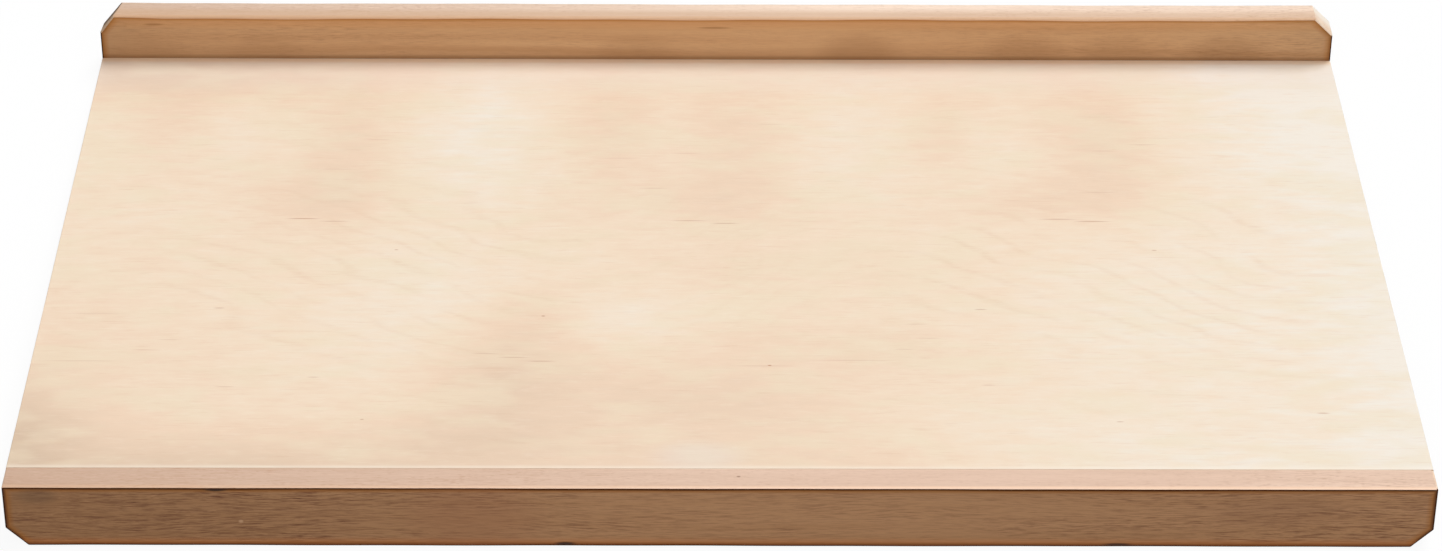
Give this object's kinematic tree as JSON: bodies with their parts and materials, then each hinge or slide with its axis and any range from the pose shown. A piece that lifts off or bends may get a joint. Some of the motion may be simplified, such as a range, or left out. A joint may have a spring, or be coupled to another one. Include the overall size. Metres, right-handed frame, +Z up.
{
  "type": "pastry board",
  "caption": "Wide plywood pastry board with a beech rail that hooks over a worktop's front edge and a matching rail along the back that stops flour and dough.",
  "frame": {"origin": "centre of the panel's underside, the face that lies on the worktop", "axes": "+X along the rails to the right as the cook stands, +Y to the back rail, +Z up from the worktop"},
  "size_m": [0.8, 0.5, 0.071],
  "materials": {
    "birch_face": "matte",
    "birch_long": "matte",
    "birch_cross": "matte",
    "beech_rail": "satin",
    "beech_dowel": "matte"
  },
  "bodies": {
    "root": {"bottom_face_veneer": "birch_face", "inner_veneer_1": "birch_cross", "inner_veneer_2": "birch_long", "inner_veneer_3": "birch_cross", "inner_veneer_4": "birch_long", "inner_veneer_5": "birch_cross", "top_face_veneer": "birch_face", "front_rail": "beech_rail", "back_rail": "beech_rail", "front_dowel_1": "beech_dowel", "front_dowel_2": "beech_dowel", "front_dowel_3": "beech_dowel", "front_dowel_4": "beech_dowel", "front_dowel_5": "beech_dowel", "front_dowel_6": "beech_dowel", "front_dowel_7": "beech_dowel", "back_dowel_1": "beech_dowel", "back_dowel_2": "beech_dowel", "back_dowel_3": "beech_dowel", "back_dowel_4": "beech_dowel", "back_dowel_5": "beech_dowel", "back_dowel_6": "beech_dowel", "back_dowel_7": "beech_dowel"}
  },
  "joints": []
}
